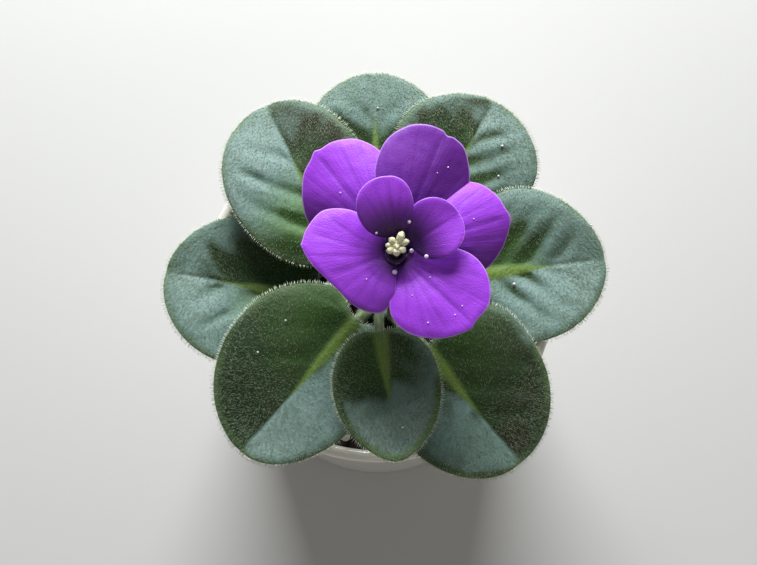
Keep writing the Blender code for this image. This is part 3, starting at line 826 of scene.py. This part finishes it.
def fanGap(offBearing, reach, spread):
    # distances in mm to the nearest side vein and to the middle one of a fan that opens from the throat
    perDegree = math.pi / 180 * reach
    opening = spread * (0.75 + 0.25 * smooth(4, 22, reach))
    nearest = min(abs(abs(offBearing) - spot * opening) for spot in flowerLook["fan"])
    return nearest * perDegree, abs(offBearing) * perDegree


def makeOuterPetal(name, petal, skin):
    knots, corners = petalKnots(petal), petal["corners"]
    steps = 2 * len(knots)
    centre = sum((petalEdge(knots, 360 * i / steps) for i in range(steps)), Vector((0, 0))) / steps
    middleBearing = (corners[0][0] + corners[-1][0]) / 2
    spread = (corners[-2][0] - corners[1][0]) / 2

    def offBearing(x, y):
        return (math.degrees(math.atan2(y, x)) - middleBearing + 180) % 360 - 180

    def surface(x, y, share):
        r = math.hypot(x, y)
        lift = 1.3 * math.sin(math.pi * min(r / 26, 1.3)) - bell(r, 4) - 0.8 * (r / 26) ** 2
        lift += petal["layer"] * flowerLook["layerGap"]
        lift += petal["lean"] * max(0.0, r - 8) + petal["cup"] * (1 - share * share)
        sideways = r * math.sin(math.radians(offBearing(x, y))) - petal["ridge"]
        lift -= petal["dome"] * sideways * sideways * smooth(5, 14, r)
        gap, middle = fanGap(offBearing(x, y), r, spread)
        lift -= 0.07 * bell(gap, 0.5) * smooth(3, 9, r) * (1 - smooth(0.82, 1.0, share))  # side veins
        lift -= 0.16 * bell(middle, 0.8) * smooth(3, 8, r) * (1 - smooth(0.7, 1.0, share))  # the crease along
        lift += 0.32 * ripple(x, y, 8, 3.0) * smooth(0.0, 0.4, share) + 0.07 * ripple(x, y, 2.2, 8.0)
        lift -= 0.28 * max(0.0, (share - 0.86) / 0.14) ** 2  # the margin rolls under
        lift += 0.16 * smooth(0.8, 1.0, share) * ripple(x, y, 3.5, 1.0)
        return flowerPlace @ Vector((x, y, lift))

    def marks(x, y, share):
        r, off = math.hypot(x, y), offBearing(x, y)
        gap, middle = fanGap(off, r, spread)
        vein = max(0.55 * bell(gap, 0.35), bell(middle, 0.5)) * (1 - 0.75 * share ** 4)
        # painted shade, darker towards one side of the petal
        shade, change, towards = petal["shade"]
        shade += change * (Vector((x, y)) - centre).dot(Vector(onBearing(towards, 1))) / 10
        return {"bearing": off / 30 + petal["layer"], "reach": r / 30, "vein": vein, "rim": share,
                "below": 0.0, "shade": max(0.0, min(1.0, shade))}

    bm = newBody(flowerLook["marks"])
    addSheet(bm, flowerLook["outer"], lambda turn: petalEdge(knots, turn), centre, surface, marks)
    return finishPiece(name + "_sheet", bm, [skin], [name])


def makeInnerPetal(name, petal, skin):
    look, shape = flowerLook["inner"], dict(plainBlade, **petal)
    base = Vector((*onBearing(petal["bearing"], petal["radius"]), petal["height"]))
    flat = archedBlade(shape, base, look["trough"], look["crease"])

    def surface(x, y, share):
        lift = 0.3 * ripple(x, y, 6, 4.0) * share - 0.16 * bell(y, 0.6) * (1 - share)
        return flowerPlace @ flat(x, y, lift - 0.2 * max(0.0, (share - 0.86) / 0.14) ** 2)

    def marks(x, y, share):
        fromThroat = x + 3
        reach, bearing = math.hypot(fromThroat, y), math.degrees(math.atan2(y, fromThroat))
        gap, middle = fanGap(bearing, reach, look["spread"])
        vein = max(0.5 * bell(gap, 0.35), 0.7 * bell(middle, 0.5)) * (1 - share ** 3)
        # the foot of the inner petal is painted in shade, and the dark of the throat reaches further out on
        # it
        return {"bearing": bearing / 30 + 5, "reach": (reach - 2.6) / 31, "vein": vein, "rim": share,
                "below": 0.0, "shade": 0.70 - 0.62 * smooth(2, 11, x)}

    bm = newBody(flowerLook["marks"])
    addBlade(bm, look, shape, surface, marks)
    return finishPiece(name + "_sheet", bm, [skin], [name])


petalColours = {
    "bright": (0.41, 0.058, 0.84, 1),
    "streak": (0.25, 0.034, 0.56, 1),
    "vein": (0.15, 0.016, 0.34, 1),
    # painted shade, for the shadowed sides and feet of the petals
    "shade": (0.120, 0.013, 0.245, 1),
    "throat": (0.034, 0.001, 0.080, 1),
    # painted highlight along the curled margin
    "rim": (0.66, 0.38, 0.92, 1),
    "below": (0.46, 0.20, 0.80, 1),
}


def makePetalSkin():
    look = petalColours
    skin = newSkin("purplePetalSkin", Roughness=0.48, Sheen_Weight=0.25, Sheen_Roughness=0.4,
                   Sheen_Tint=(0.80, 0.55, 1.0, 1), Specular_IOR_Level=0.35)
    reach = mark(skin, "reach")
    fan = addNode(skin, "ShaderNodeCombineXYZ", {0: mark(skin, "bearing"), 1: reach, 2: 0.0}).outputs[0]
    stretched = addNode(skin, "ShaderNodeMapping", {"Vector": fan, "Scale": (1.0, 0.12, 1.0)}).outputs[0]
    streaks = mottle(skin, 22, 3, 0.6, stretched)
    throat = maths(skin, "POWER", ramp(skin, reach, 0.10, 0.34, 1.0, 0.0), 1.5)
    # painted highlight: a light lilac line along the margin stands in for the light the curled, translucent
    # edge catches
    rim = times(skin, ramp(skin, mark(skin, "rim"), 0.972, 0.996), ramp(skin, reach, 0.2, 0.4))
    colour = blend(skin, ramp(skin, streaks, 0.35, 0.7, 0.0, 0.4), look["bright"], look["streak"])
    colour = blend(skin, times(skin, mark(skin, "vein"), 0.55), colour, look["vein"])
    # painted shade laid over the petal colour
    colour = blend(skin, mark(skin, "shade"), colour, look["shade"])
    colour = blend(skin, throat, colour, look["throat"])
    colour = blend(skin, times(skin, rim, 0.75), colour, look["rim"])
    paint(skin, blend(skin, times(skin, mark(skin, "below"), 0.5), colour, look["below"]))
    addBump(skin, streaks, 0.0003, 0.3)
    addBump(skin, mottle(skin, 2600, 1), 0.0001, 0.7)
    return skin


tubeLook = {"radius": 2.5, "wall": 0.6, "bottom": -4.5, "top": 2.6, "floor": 0.7}
antherLook = {
    "foot": tubeLook["bottom"] + 1.1,
    "footRadius": 1.2,
    "stemRadius": 0.34,
    # x, y and height of each anther's outer end over the flower's plane, and its thickness
    "ends": [(1.5, 3.8, 6.1, 1.00), (2.8, 2.0, 5.5, 0.85), (2.0, -0.3, 5.0, 0.92), (0.1, -1.1, 4.7, 1.00),
             (-1.9, -0.5, 4.7, 0.85), (-2.2, 1.1, 4.8, 0.72), (-1.3, 2.6, 5.3, 0.90)],
    "middle": (0.1, 1.0, 4.75),
    "middleRadius": 1.20,
    # x, y and height along the pistil, and its radius
    "pistil": [(0, 0, -3.1, 0.55), (0, 0, -2.1, 0.85), (0, 0, -1.1, 0.6), (0.05, 0.1, -0.3, 0.28),
               (0.15, 0.25, 3.2, 0.24), (0.25, 0.45, 5.0, 0.26), (0.28, 0.5, 5.6, 0.46),
               (0.3, 0.52, 5.95, 0.30)],
}


def makeStamens(cream):
    bm = newBody()
    foot, middle = antherLook["foot"], Vector(antherLook["middle"])
    for x, y, height, size in antherLook["ends"]:
        low, high = Vector((0.3 * x, 0.3 * y, foot)), Vector((0.55 * x, 0.55 * y, height - 0.6))
        addRod(bm, [flowerPlace @ low.lerp(high, k / 6) for k in range(7)], [antherLook["stemRadius"]] * 7, 8)
        tip = Vector((x, y, height))
        inner = middle.lerp(tip, 0.30)
        turn = (tip - inner).to_track_quat("Z", "X")
        half = (tip - inner).length / 2 + 0.25
        for v in bmesh.ops.create_uvsphere(bm, u_segments=20, v_segments=14, radius=1)["verts"]:
            # a pale sac with a groove along it, thicker at its outer end
            groove = 1 - 0.34 * bell(v.co.x, 0.26)
            rough = 1 + 0.20 * noise.noise(v.co * 1.7 + tip) + 0.07 * noise.noise(v.co * 4 + tip)
            wide = size * rough * (1 + 0.22 * v.co.z)
            sac = Vector((v.co.x * wide, v.co.y * wide * groove, v.co.z * half * rough))
            v.co = flowerPlace @ ((inner + tip) / 2 + turn @ sac)
    core = bmesh.ops.create_uvsphere(bm, u_segments=24, v_segments=16, radius=antherLook["middleRadius"])
    for v in core["verts"]:
        v.co = flowerPlace @ (middle + v.co * (0.9 + 0.25 * noise.noise(v.co * 1.4)))
    bmesh.ops.create_cone(bm, cap_ends=True, segments=20, radius1=antherLook["footRadius"],
                          radius2=antherLook["footRadius"], depth=0.6,
                          matrix=flowerPlace @ Matrix.Translation((0, 0, foot)))
    finishPiece("stamen_cluster", bm, [cream], ["stamens"])

    bm = newBody()
    path = [flowerPlace @ Vector(point[:3]) for point in antherLook["pistil"]]
    addRod(bm, path, [point[3] for point in antherLook["pistil"]])
    finishPiece("pistil_rod", bm, [cream], ["pistil"])


def makeCreamSkin():
    return mottledSkin("creamAnther", (0.84, 0.80, 0.44, 1), (0.95, 0.93, 0.70, 1), (900, 3, 0.5, 0.35, 0.7),
                       [(3500, 2, 0.5, 0.00012, 0.9)], Roughness=0.55, Sheen_Weight=0.2)


def makeCorollaTube(skin):
    outer, bottom, top = tubeLook["radius"], tubeLook["bottom"], tubeLook["top"]
    inner, floor = outer - tubeLook["wall"], bottom + tubeLook["floor"]
    bm = newBody(flowerLook["marks"])
    profile = [(0, bottom), (outer - 0.9, bottom), (outer - 0.4, bottom + 0.1), (outer - 0.1, bottom + 0.35),
               (outer, bottom + 0.8), (outer, top - 0.5), (outer - 0.04, top - 0.2), (outer - 0.2, top),
               (outer - 0.4, top), (inner + 0.05, top - 0.15), (inner, top - 0.5), (inner, floor + 0.6),
               (inner - 0.2, floor + 0.15), (inner - 0.6, floor), (0, floor)]
    spinBody(bm, profile, 48, flowerPlace)
    reach = bm.verts.layers.float["reach"]
    for v in bm.verts:
        v[reach] = 0.10  # as dark as the throat
    finishPiece("corolla_tube_shell", bm, [skin], ["corolla_tube"])


calyxLook = {
    "top": tubeLook["bottom"] - 0.2,
    # height under the top, and radius
    "cup": [(3.3, 0), (3.3, 0.7), (3.1, 1.15), (2.4, 1.45), (1.5, 1.9), (0.6, 2.3), (0.1, 2.45), (0, 2.3),
            (0, 0)],
    "sepal": dict(plainBlade, length=7.0, left=1.3, right=1.3, egg=-0.3, point=0.1, rise=34, fall=2),
    "sepals": 5,
    "sepalRoot": (1.3, 0.9),  # from the axis, and under the top
    "cells": 12,
    "thickness": 0.5,
    "edgeThickness": 0.3,
    "trough": 0.2,
    "sepalHairs": 90,
}


def makeCalyx(leafSkin, draw):
    # gives the roots of the sepals' hairs
    top, hairs = calyxLook["top"], []
    bm = newBody(leafLook["marks"])
    spinBody(bm, [(radius, top - drop) for drop, radius in calyxLook["cup"]], 40, flowerPlace)
    for i in range(calyxLook["sepals"]):
        shape = dict(calyxLook["sepal"], heading=360 / calyxLook["sepals"] * (i + 0.5))
        reach, drop = calyxLook["sepalRoot"]
        root = Vector((*onBearing(shape["heading"], reach), top - drop))
        flat = archedBlade(shape, root, calyxLook["trough"])
        addBlade(bm, calyxLook, shape, lambda x, y, share: flowerPlace @ flat(x, y),
                 lambda x, y, share: {"margin": share, "heart": 0.3})
        for k in range(calyxLook["sepalHairs"]):
            x, y = draw.uniform(0.5, 6.8), draw.uniform(-1.1, 1.1)
            down = -1 if draw.random() < 0.7 else 0.2
            side = Vector((draw.gauss(0, 0.5), draw.gauss(0, 0.5), down))
            place = flowerPlace @ (flat(x, y * (1 - 0.11 * x)) + Vector((0, 0, 0.4 * down)))
            hairs.append((place, side.normalized(), draw.uniform(0.5, 0.9), 1.0))
    finishPiece("calyx_cup", bm, [leafSkin], ["calyx"])
    return hairs


flowerStalkLook = {
    "root": (0.6, -0.4, 1.2),  # beside the pot's axis and above the rim
    "leaves": (-0.4, -0.2, 12),
    "arrives": 12,  # straight under the flower
    "end": 3.2,  # under the top of the calyx, just inside its cup
    "radius": 1.1,
    "flare": 0.22,
    "steps": 30,
    "hairs": 900,
}


def makeFlowerStalk(stalkSkin, hairSkin, hairs, draw):
    look = flowerStalkLook
    x, y, lift = look["root"]
    start = Vector((x, y, rimHeight + lift))
    below = flowerPlace @ Vector((0, 0, tubeLook["bottom"] - look["arrives"]))
    end = flowerPlace @ Vector((0, 0, calyxLook["top"] - look["end"]))
    path = bezierPath(start, start + Vector(look["leaves"]), below, end, look["steps"])
    radii = [look["radius"] + look["flare"] * (1 - smooth(0, 10, i)) for i in range(look["steps"])]
    bm = newBody()
    addRod(bm, path, radii, 16)
    finishPiece("flower_stalk_rod", bm, [stalkSkin], ["flower_stalk"])
    bm = newBody()
    addHairs(bm, hairs + stalkHairRoots(path, radii, draw, look["hairs"]), leafLook["hairRadius"])
    finishPiece("flower_stalk_hairs", bm, [hairSkin])


dewLook = {
    # on the flower: x and y across it, and the radius of the larger drops
    "drops": [(3.1, 6.4, 0.42), (3.7, 0.3, 0.52), (7.1, -1.5, 0.50), (-0.3, -4.9, 0.60), (-4.6, 3.9, 0.32)],
    "specks": [(9.9, 19.0), (-6.9, -6.7), (8.0, -6.2), (15.4, -13.1), (13.7, -15.2),
               (3.8, -10.5), (12.5, 20.5), (-13.2, 14.5), (18.5, 8.0), (7.4, -17.0)],
    "speckRadius": (0.13, 0.22),
    # on the leaves: along and across the blade, radius
    "onLeaves": [
        ("leaf_right", 7.5, -3.9, 0.40), ("leaf_right", 30.3, 9.1, 0.32), ("leaf_front", 24.2, 2.2, 0.26),
        ("leaf_front_left", 22.5, -12.9, 0.26), ("leaf_front_left", 12.0, -13.0, 0.24),
        ("leaf_back", 23.8, -0.8, 0.30), ("leaf_back_right", 19.0, -8.0, 0.35),
        ("leaf_back_right", 11.0, -11.0, 0.30)],
    "above": 25,  # height over the flower from which a drop falls
}


def makeDew(petals, draw):
    # the drops are painted near white with little transmission, a painted highlight for the light clear water
    # catches
    water = newSkin("dewWater", Base_Color=(0.97, 0.92, 0.98, 1), Roughness=0.08, IOR=1.33,
                    Transmission_Weight=0.12)
    addBump(water, mottle(water, 900, 1), 0.00003, 0.3)
    sheets = [petal.data for petal in petals]
    trees = [BVHTree.FromPolygons([v.co for v in sheet.vertices], [face.vertices for face in sheet.polygons])
             for sheet in sheets]
    down = flowerPlace.to_3x3() @ Vector((0, 0, -1))
    above = dewLook["above"]

    def onPetal(x, y, sunk):
        # the topmost petal under a point over the flower
        start = (flowerPlace @ Vector((x, y, above))) * mm
        hits = [tree.ray_cast(start, down)[3] for tree in trees]
        fall = min(hit for hit in hits if hit is not None) / mm
        return flowerPlace @ Matrix.Translation((x, y, above - fall - sunk)) @ Matrix.Diagonal((1, 1, 0.8, 1))

    bm = newBody()
    for x, y, radius in dewLook["drops"]:
        bmesh.ops.create_uvsphere(bm, u_segments=20, v_segments=14, radius=radius,
                                  matrix=onPetal(x, y, -0.55 * radius))
    for x, y in dewLook["specks"]:
        radius = draw.uniform(*dewLook["speckRadius"])
        bmesh.ops.create_icosphere(bm, subdivisions=2, radius=radius, matrix=onPetal(x, y, -0.4 * radius))
    for name, along, across, radius in dewLook["onLeaves"]:
        leaf = dict(plainBlade, **leafShapes[name])
        put = archedBlade(leaf, bladeBase(leaf), leafLook["trough"])
        share = math.hypot(2 * along / leaf["length"] - 1, across / (0.5 * (leaf["left"] + leaf["right"])))
        lift = leafRelief(leaf, along, across, min(share, 1.0)) + 0.35 * radius + 0.2
        bmesh.ops.create_uvsphere(bm, u_segments=16, v_segments=12, radius=radius,
                                  matrix=Matrix.Translation(put(along, across, lift)))
    finishPiece("dew_drops", bm, [water])


potLook = {
    "foot": 40.7,
    "rim": 47.5,
    "wall": 3.2,
    "floor": 5.0,
    "segments": 160,
    "outsideRows": (6, 16, 28, 40, 52, 64, 74, 80),
    "insideRows": (78, 70, 55, 40, 25, 15),
    "rimSteps": 16,
}


def potRadius(height):
    return potLook["foot"] + (potLook["rim"] - potLook["foot"]) / rimHeight * height


def makePot():
    # the cream tint of the white glaze is partly its own colour and partly painted reflection of warm
    # surroundings
    glaze = mottledSkin("glazeWithPaintedWarmth", (0.94, 0.90, 0.80, 1), (0.88, 0.84, 0.74, 1), (45, 3, 0.5, 0.35, 0.7),
                        [(60, 2, 0.5, 0.0006, 0.25), (700, 2, 0.5, 0.00008, 0.25)],
                        Roughness=0.16, Coat_Weight=0.6, Coat_Roughness=0.06, Specular_IOR_Level=0.5)
    foot, wall, floor, lip = potLook["foot"], potLook["wall"], potLook["floor"], potLook["wall"] / 2
    profile = [(0, 0), (foot * 0.5, 0), (foot - 1.2, 0), (foot - 0.6, 0.12), (foot - 0.2, 0.5), (foot, 1.1)]
    profile += [(potRadius(height), height) for height in potLook["outsideRows"]]
    for k in range(potLook["rimSteps"] + 1):
        x, z = onBearing(180 * k / potLook["rimSteps"], lip)
        profile.append((potLook["rim"] - lip + x, rimHeight - lip + z))
    profile += [(potRadius(height) - wall, height) for height in potLook["insideRows"]]
    edge = potRadius(floor) - wall
    profile += [(edge + 0.6, floor + 5), (edge + 0.2, floor + 2.8), (edge - 1, floor + 1.2),
                (edge - 2.6, floor + 0.3), (edge - 4.4, floor), (0, floor)]
    bm = newBody()
    spinBody(bm, profile, potLook["segments"])
    finishPiece("pot_shell", bm, [glaze], ["pot"])


soilLook = {
    "depth": 10.0,
    "gap": 0.25,
    "footGap": 0.6,
    "cells": 110,
    "lumps": ((5, 0.8), (1.9, 0.7), (0.8, 0.35)),  # size and height
    "crumbs": 520,
    "crumbSize": (0.35, 1.25),
}


def makeSoil(draw):
    earth = mottledSkin("darkPeat", (0.006, 0.005, 0.004, 1), (0.042, 0.031, 0.023, 1),
                        (420, 4, 0.7, 0.35, 0.75), [(1300, 4, 0.7, 0.0006, 1.0)],
                        Roughness=0.92, Specular_IOR_Level=0.3)
    level, foot = rimHeight - soilLook["depth"], potLook["floor"] + 3
    radius = potRadius(level) - potLook["wall"] - soilLook["gap"]

    bm = newBody()
    top, spots = roundGrid(bm, soilLook["cells"])
    for v in top:
        x, y = spots[v][0] * radius, spots[v][1] * radius
        lift = sum(height * noise.noise(Vector((x, y, 0)) / size) for size, height in soilLook["lumps"])
        v.co = (x, y, level + lift * (1 - smooth(0.96, 1.0, math.hypot(x, y) / radius)))
    rims = [e for e in bm.edges if e.is_boundary]
    low = bmesh.ops.extrude_edge_only(bm, edges=rims)["geom"]
    narrow = (potRadius(foot) - potLook["wall"] - soilLook["footGap"]) / radius
    for v in onlyVerts(low):
        v.co = (v.co.x * narrow, v.co.y * narrow, foot)
    rims = [g for g in low if isinstance(g, bmesh.types.BMEdge) and g.is_boundary]
    bmesh.ops.edgeloop_fill(bm, edges=rims)
    bmesh.ops.recalc_face_normals(bm, faces=bm.faces)
    for i in range(soilLook["crumbs"]):
        reach = math.sqrt(draw.uniform(0.03, 0.93)) * radius
        x, y = onBearing(draw.uniform(0, 360), reach)
        size = draw.uniform(*soilLook["crumbSize"])
        turn = Matrix.Rotation(draw.uniform(0, 6), 4, (draw.random(), draw.random(), 1))
        flatten = Matrix.Diagonal((draw.uniform(0.7, 1.3), draw.uniform(0.6, 1.1), draw.uniform(0.5, 0.9), 1))
        place = Matrix.Translation((x, y, level + 0.25 * size)) @ turn @ flatten
        bmesh.ops.create_icosphere(bm, subdivisions=1, radius=size, matrix=place)
    finishPiece("soil_bed", bm, [earth], ["soil"])


grainLook = {"count": 6, "lumps": 0.22, "pits": 0.08, "share": 0.95}  # share of the solid grain's size


def makeGrains():
    stone = mottledSkin("paleGrain", (0.34, 0.32, 0.29, 1), (0.62, 0.60, 0.56, 1), (700, 3, 0.5, 0, 1),
                        [(2200, 3, 0.5, 0.0002, 0.8)], Roughness=0.85)
    for i in range(1, grainLook["count"] + 1):
        node = "soil_grain_%d" % i
        low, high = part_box(node)
        middle, half = (low + high) / 2 / mm, (high - low) / 2 / mm
        bm = newBody()
        for v in bmesh.ops.create_icosphere(bm, subdivisions=3, radius=1)["verts"]:
            lumps = grainLook["lumps"] * noise.noise(v.co * 1.3 + Vector((i, 0, 0)))
            v.co = v.co * (1 + lumps + grainLook["pits"] * noise.noise(v.co * 4))
            v.co = middle + v.co * half * grainLook["share"]
        finishPiece(node + "_stone", bm, [stone], [node])


def makeCrown(stalkSkin):
    low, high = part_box("crown")
    bottom, top, radius = low.z / mm, high.z / mm, leafLook["crownRadius"]
    profile = [(0, bottom), (radius - 1.0, bottom), (radius - 0.3, bottom + 0.6), (radius, bottom + 1.8)]
    for k in range(1, 9):
        profile.append((radius - 0.05 * k, bottom + 1.8 + (top - bottom - 4) * k / 8))
    profile += [(radius - 0.6, top - 1.2), (radius - 1.6, top - 0.3), (radius - 3.6, top), (0, top)]
    bm = newBody()
    spinBody(bm, profile, 56)
    for v in bm.verts:
        if math.hypot(v.co.x, v.co.y) > 0.5 and v.co.z > bottom + 2:
            grow = 1 + 0.05 * noise.noise(v.co / 1.6) - 0.03
            v.co = (v.co.x * grow, v.co.y * grow, v.co.z)
    finishPiece("crown_stem", bm, [stalkSkin], ["crown"])


makeStudio()
print("studio ready")
hairSkin = makeHairSkin("paleHair", (0.19, 0.26, 0.13, 1), (0.46, 0.53, 0.37, 1))
# the fringe hairs are painted paler than the others, standing in for the lamp light shining through them from
# behind
backlitFringeSkin = makeHairSkin("paintedBacklitFringe", (0.50, 0.58, 0.40, 1), (0.82, 0.86, 0.70, 1))
leafSkin, stalkSkin = makeLeafSkin(), makeStalkSkin()
leafSkins = [leafSkin, stalkSkin, hairSkin, backlitFringeSkin]
for order, (leafName, leafShape) in enumerate(leafShapes.items()):
    makeLeaf(leafName, leafShape, leafSkins, random.Random(100 + order))
for order, (leafName, leafShape) in enumerate(youngShapes.items()):
    makeYoungLeaf(leafName, leafShape, leafSkins, random.Random(200 + order))
print("leaves ready:", len(leafShapes) + len(youngShapes))
petalSkin = makePetalSkin()
petals = [makeOuterPetal(petalName, shape, petalSkin) for petalName, shape in outerPetals.items()]
petals += [makeInnerPetal(petalName, shape, petalSkin) for petalName, shape in innerPetals.items()]
print("petals ready:", len(petals))
makeStamens(makeCreamSkin())
makeCorollaTube(petalSkin)
baseDraw = random.Random(300)
sepalHairs = makeCalyx(leafSkin, baseDraw)
makeFlowerStalk(stalkSkin, hairSkin, sepalHairs, baseDraw)
print("flower ready")
makeDew(petals, random.Random(400))
print("dew ready")
makePot()
makeSoil(random.Random(500))
makeGrains()
makeCrown(stalkSkin)
print("pot, soil and crown ready")
